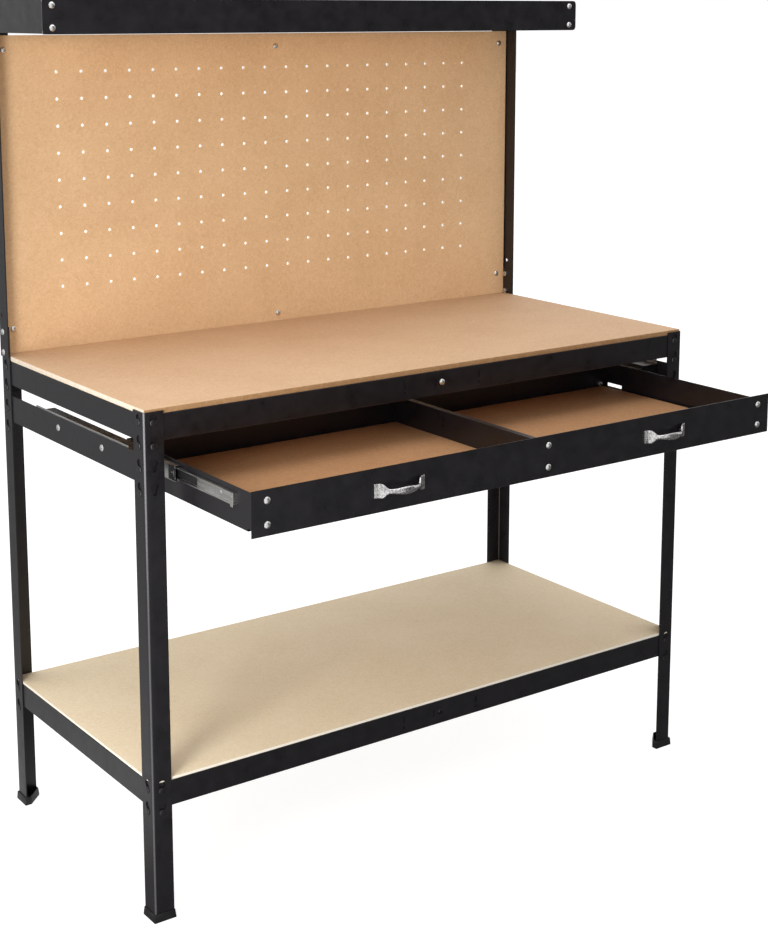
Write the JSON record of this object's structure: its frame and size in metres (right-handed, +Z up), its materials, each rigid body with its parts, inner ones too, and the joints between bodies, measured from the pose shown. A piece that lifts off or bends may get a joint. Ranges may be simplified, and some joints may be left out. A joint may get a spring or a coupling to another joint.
{
  "type": "workbench",
  "caption": "Steel-framed workbench with worktop, lower shelf, pegboard back, top tray and a wide divided drawer on ball-bearing slides.",
  "frame": {"origin": "on the floor, at the middle of the whole bench with its drawer part open", "axes": "+Z up, front and drawer opening towards -Y, +X to the right seen from the front"},
  "size_m": [1.21, 0.863, 1.526],
  "materials": {
    "frame_paint": "satin black powder coat",
    "cap_plastic": "moulded black",
    "worktop_fibreboard": "smooth medium-density fibreboard",
    "shelf_fibreboard": "smooth pale fibreboard",
    "drawer_fibreboard": "smooth fibreboard",
    "handle_chrome": "bright plated",
    "zinc_bolts": "zinc plated",
    "slide_zinc": "zinc plated, roll formed"
  },
  "bodies": {
    "frame": {"front_left_leg": "frame_paint", "front_right_leg": "frame_paint", "rear_left_leg": "frame_paint", "rear_right_leg": "frame_paint", "left_post": "frame_paint", "right_post": "frame_paint", "worktop_front_beam": "frame_paint", "worktop_rear_beam": "frame_paint", "worktop_left_beam": "frame_paint", "worktop_right_beam": "frame_paint", "shelf_front_beam": "frame_paint", "shelf_rear_beam": "frame_paint", "shelf_left_beam": "frame_paint", "shelf_right_beam": "frame_paint", "worktop_brace": "frame_paint", "shelf_brace": "frame_paint", "pegboard_rail": "frame_paint", "pegboard_strap": "frame_paint", "tray_front": "frame_paint", "tray_left_end": "frame_paint", "tray_right_end": "frame_paint", "tray_rear": "frame_paint", "left_rail": "frame_paint", "right_rail": "frame_paint", "left_slide_bracket": "frame_paint", "right_slide_bracket": "frame_paint", "front_left_foot_cap": "cap_plastic", "front_right_foot_cap": "cap_plastic", "rear_left_foot_cap": "cap_plastic", "rear_right_foot_cap": "cap_plastic", "worktop_board": "worktop_fibreboard", "pegboard": "worktop_fibreboard", "shelf_board": "shelf_fibreboard", "tray_board": "shelf_fibreboard", "frame_studs": "zinc_bolts", "post_bolts": "zinc_bolts", "tray_bolts": "zinc_bolts", "pegboard_bolts": "zinc_bolts", "brace_bolts": "zinc_bolts", "rail_bolts": "zinc_bolts", "left_slide_outer": "slide_zinc", "right_slide_outer": "slide_zinc"},
    "drawer": {"drawer_front": "frame_paint", "drawer_back": "frame_paint", "drawer_left_side": "frame_paint", "drawer_right_side": "frame_paint", "drawer_divider": "frame_paint", "drawer_bottom": "drawer_fibreboard", "left_handle": "handle_chrome", "right_handle": "handle_chrome", "drawer_bolts": "zinc_bolts", "left_slide_inner": "slide_zinc", "right_slide_inner": "slide_zinc"},
    "left_slide_middle_member": {"left_slide_middle": "slide_zinc"},
    "left_outer_balls": {"left_outer_ball_cage": "slide_zinc"},
    "left_inner_balls": {"left_inner_ball_cage": "slide_zinc"},
    "right_slide_middle_member": {"right_slide_middle": "slide_zinc"},
    "right_outer_balls": {"right_outer_ball_cage": "slide_zinc"},
    "right_inner_balls": {"right_inner_ball_cage": "slide_zinc"}
  },
  "joints": [
    {"name": "drawer_slide", "type": "slide", "parent": "frame", "child": "drawer", "axis": [0, -1, 0], "range_m": [-0.265, 0.085]},
    {"name": "left_slide_middle_member_travel", "type": "slide", "parent": "frame", "child": "left_slide_middle_member", "axis": [0, -1, 0], "range_m": [-0.133, 0.043]},
    {"name": "left_outer_balls_travel", "type": "slide", "parent": "frame", "child": "left_outer_balls", "axis": [0, -1, 0], "range_m": [-0.06675, 0.02175]},
    {"name": "left_inner_balls_travel", "type": "slide", "parent": "frame", "child": "left_inner_balls", "axis": [0, -1, 0], "range_m": [-0.19925, 0.06425]},
    {"name": "right_slide_middle_member_travel", "type": "slide", "parent": "frame", "child": "right_slide_middle_member", "axis": [0, -1, 0], "range_m": [-0.133, 0.043]},
    {"name": "right_outer_balls_travel", "type": "slide", "parent": "frame", "child": "right_outer_balls", "axis": [0, -1, 0], "range_m": [-0.06675, 0.02175]},
    {"name": "right_inner_balls_travel", "type": "slide", "parent": "frame", "child": "right_inner_balls", "axis": [0, -1, 0], "range_m": [-0.19925, 0.06425]}
  ],
  "couplings": [
    {"joint": "left_slide_middle_member_travel", "follows": "drawer_slide", "ratio": 0.5},
    {"joint": "left_outer_balls_travel", "follows": "drawer_slide", "ratio": 0.25},
    {"joint": "left_inner_balls_travel", "follows": "drawer_slide", "ratio": 0.75},
    {"joint": "right_slide_middle_member_travel", "follows": "drawer_slide", "ratio": 0.5},
    {"joint": "right_outer_balls_travel", "follows": "drawer_slide", "ratio": 0.25},
    {"joint": "right_inner_balls_travel", "follows": "drawer_slide", "ratio": 0.75}
  ]
}
